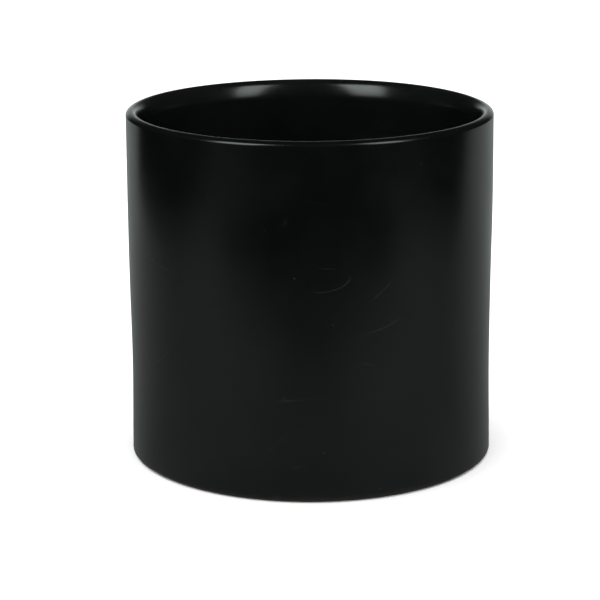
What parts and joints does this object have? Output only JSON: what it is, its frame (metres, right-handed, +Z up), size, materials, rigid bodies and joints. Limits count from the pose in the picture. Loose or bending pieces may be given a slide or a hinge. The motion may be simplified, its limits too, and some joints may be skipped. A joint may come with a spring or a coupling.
{
  "type": "candle jar",
  "caption": "Straight-sided open ceramic candle vessel with a rounded rim, satin black glaze outside, glossier liner glaze inside and a bare clay foot ring.",
  "frame": {"origin": "middle of the flat plane that the foot ring rests on", "axes": "+Z up along the jar's axis of revolution, out of its mouth; X and Y are any two horizontal directions"},
  "size_m": [0.1002, 0.1002, 0.0959],
  "materials": {
    "bare_stoneware": "matte",
    "satin_glaze": "satin",
    "liner_glaze": "semi-gloss",
    "base_coat_glaze": "satin"
  },
  "bodies": {
    "root": {"clay_body": "bare_stoneware", "outer_glaze": "satin_glaze", "inner_glaze": "liner_glaze", "base_glaze": "base_coat_glaze"}
  },
  "joints": []
}
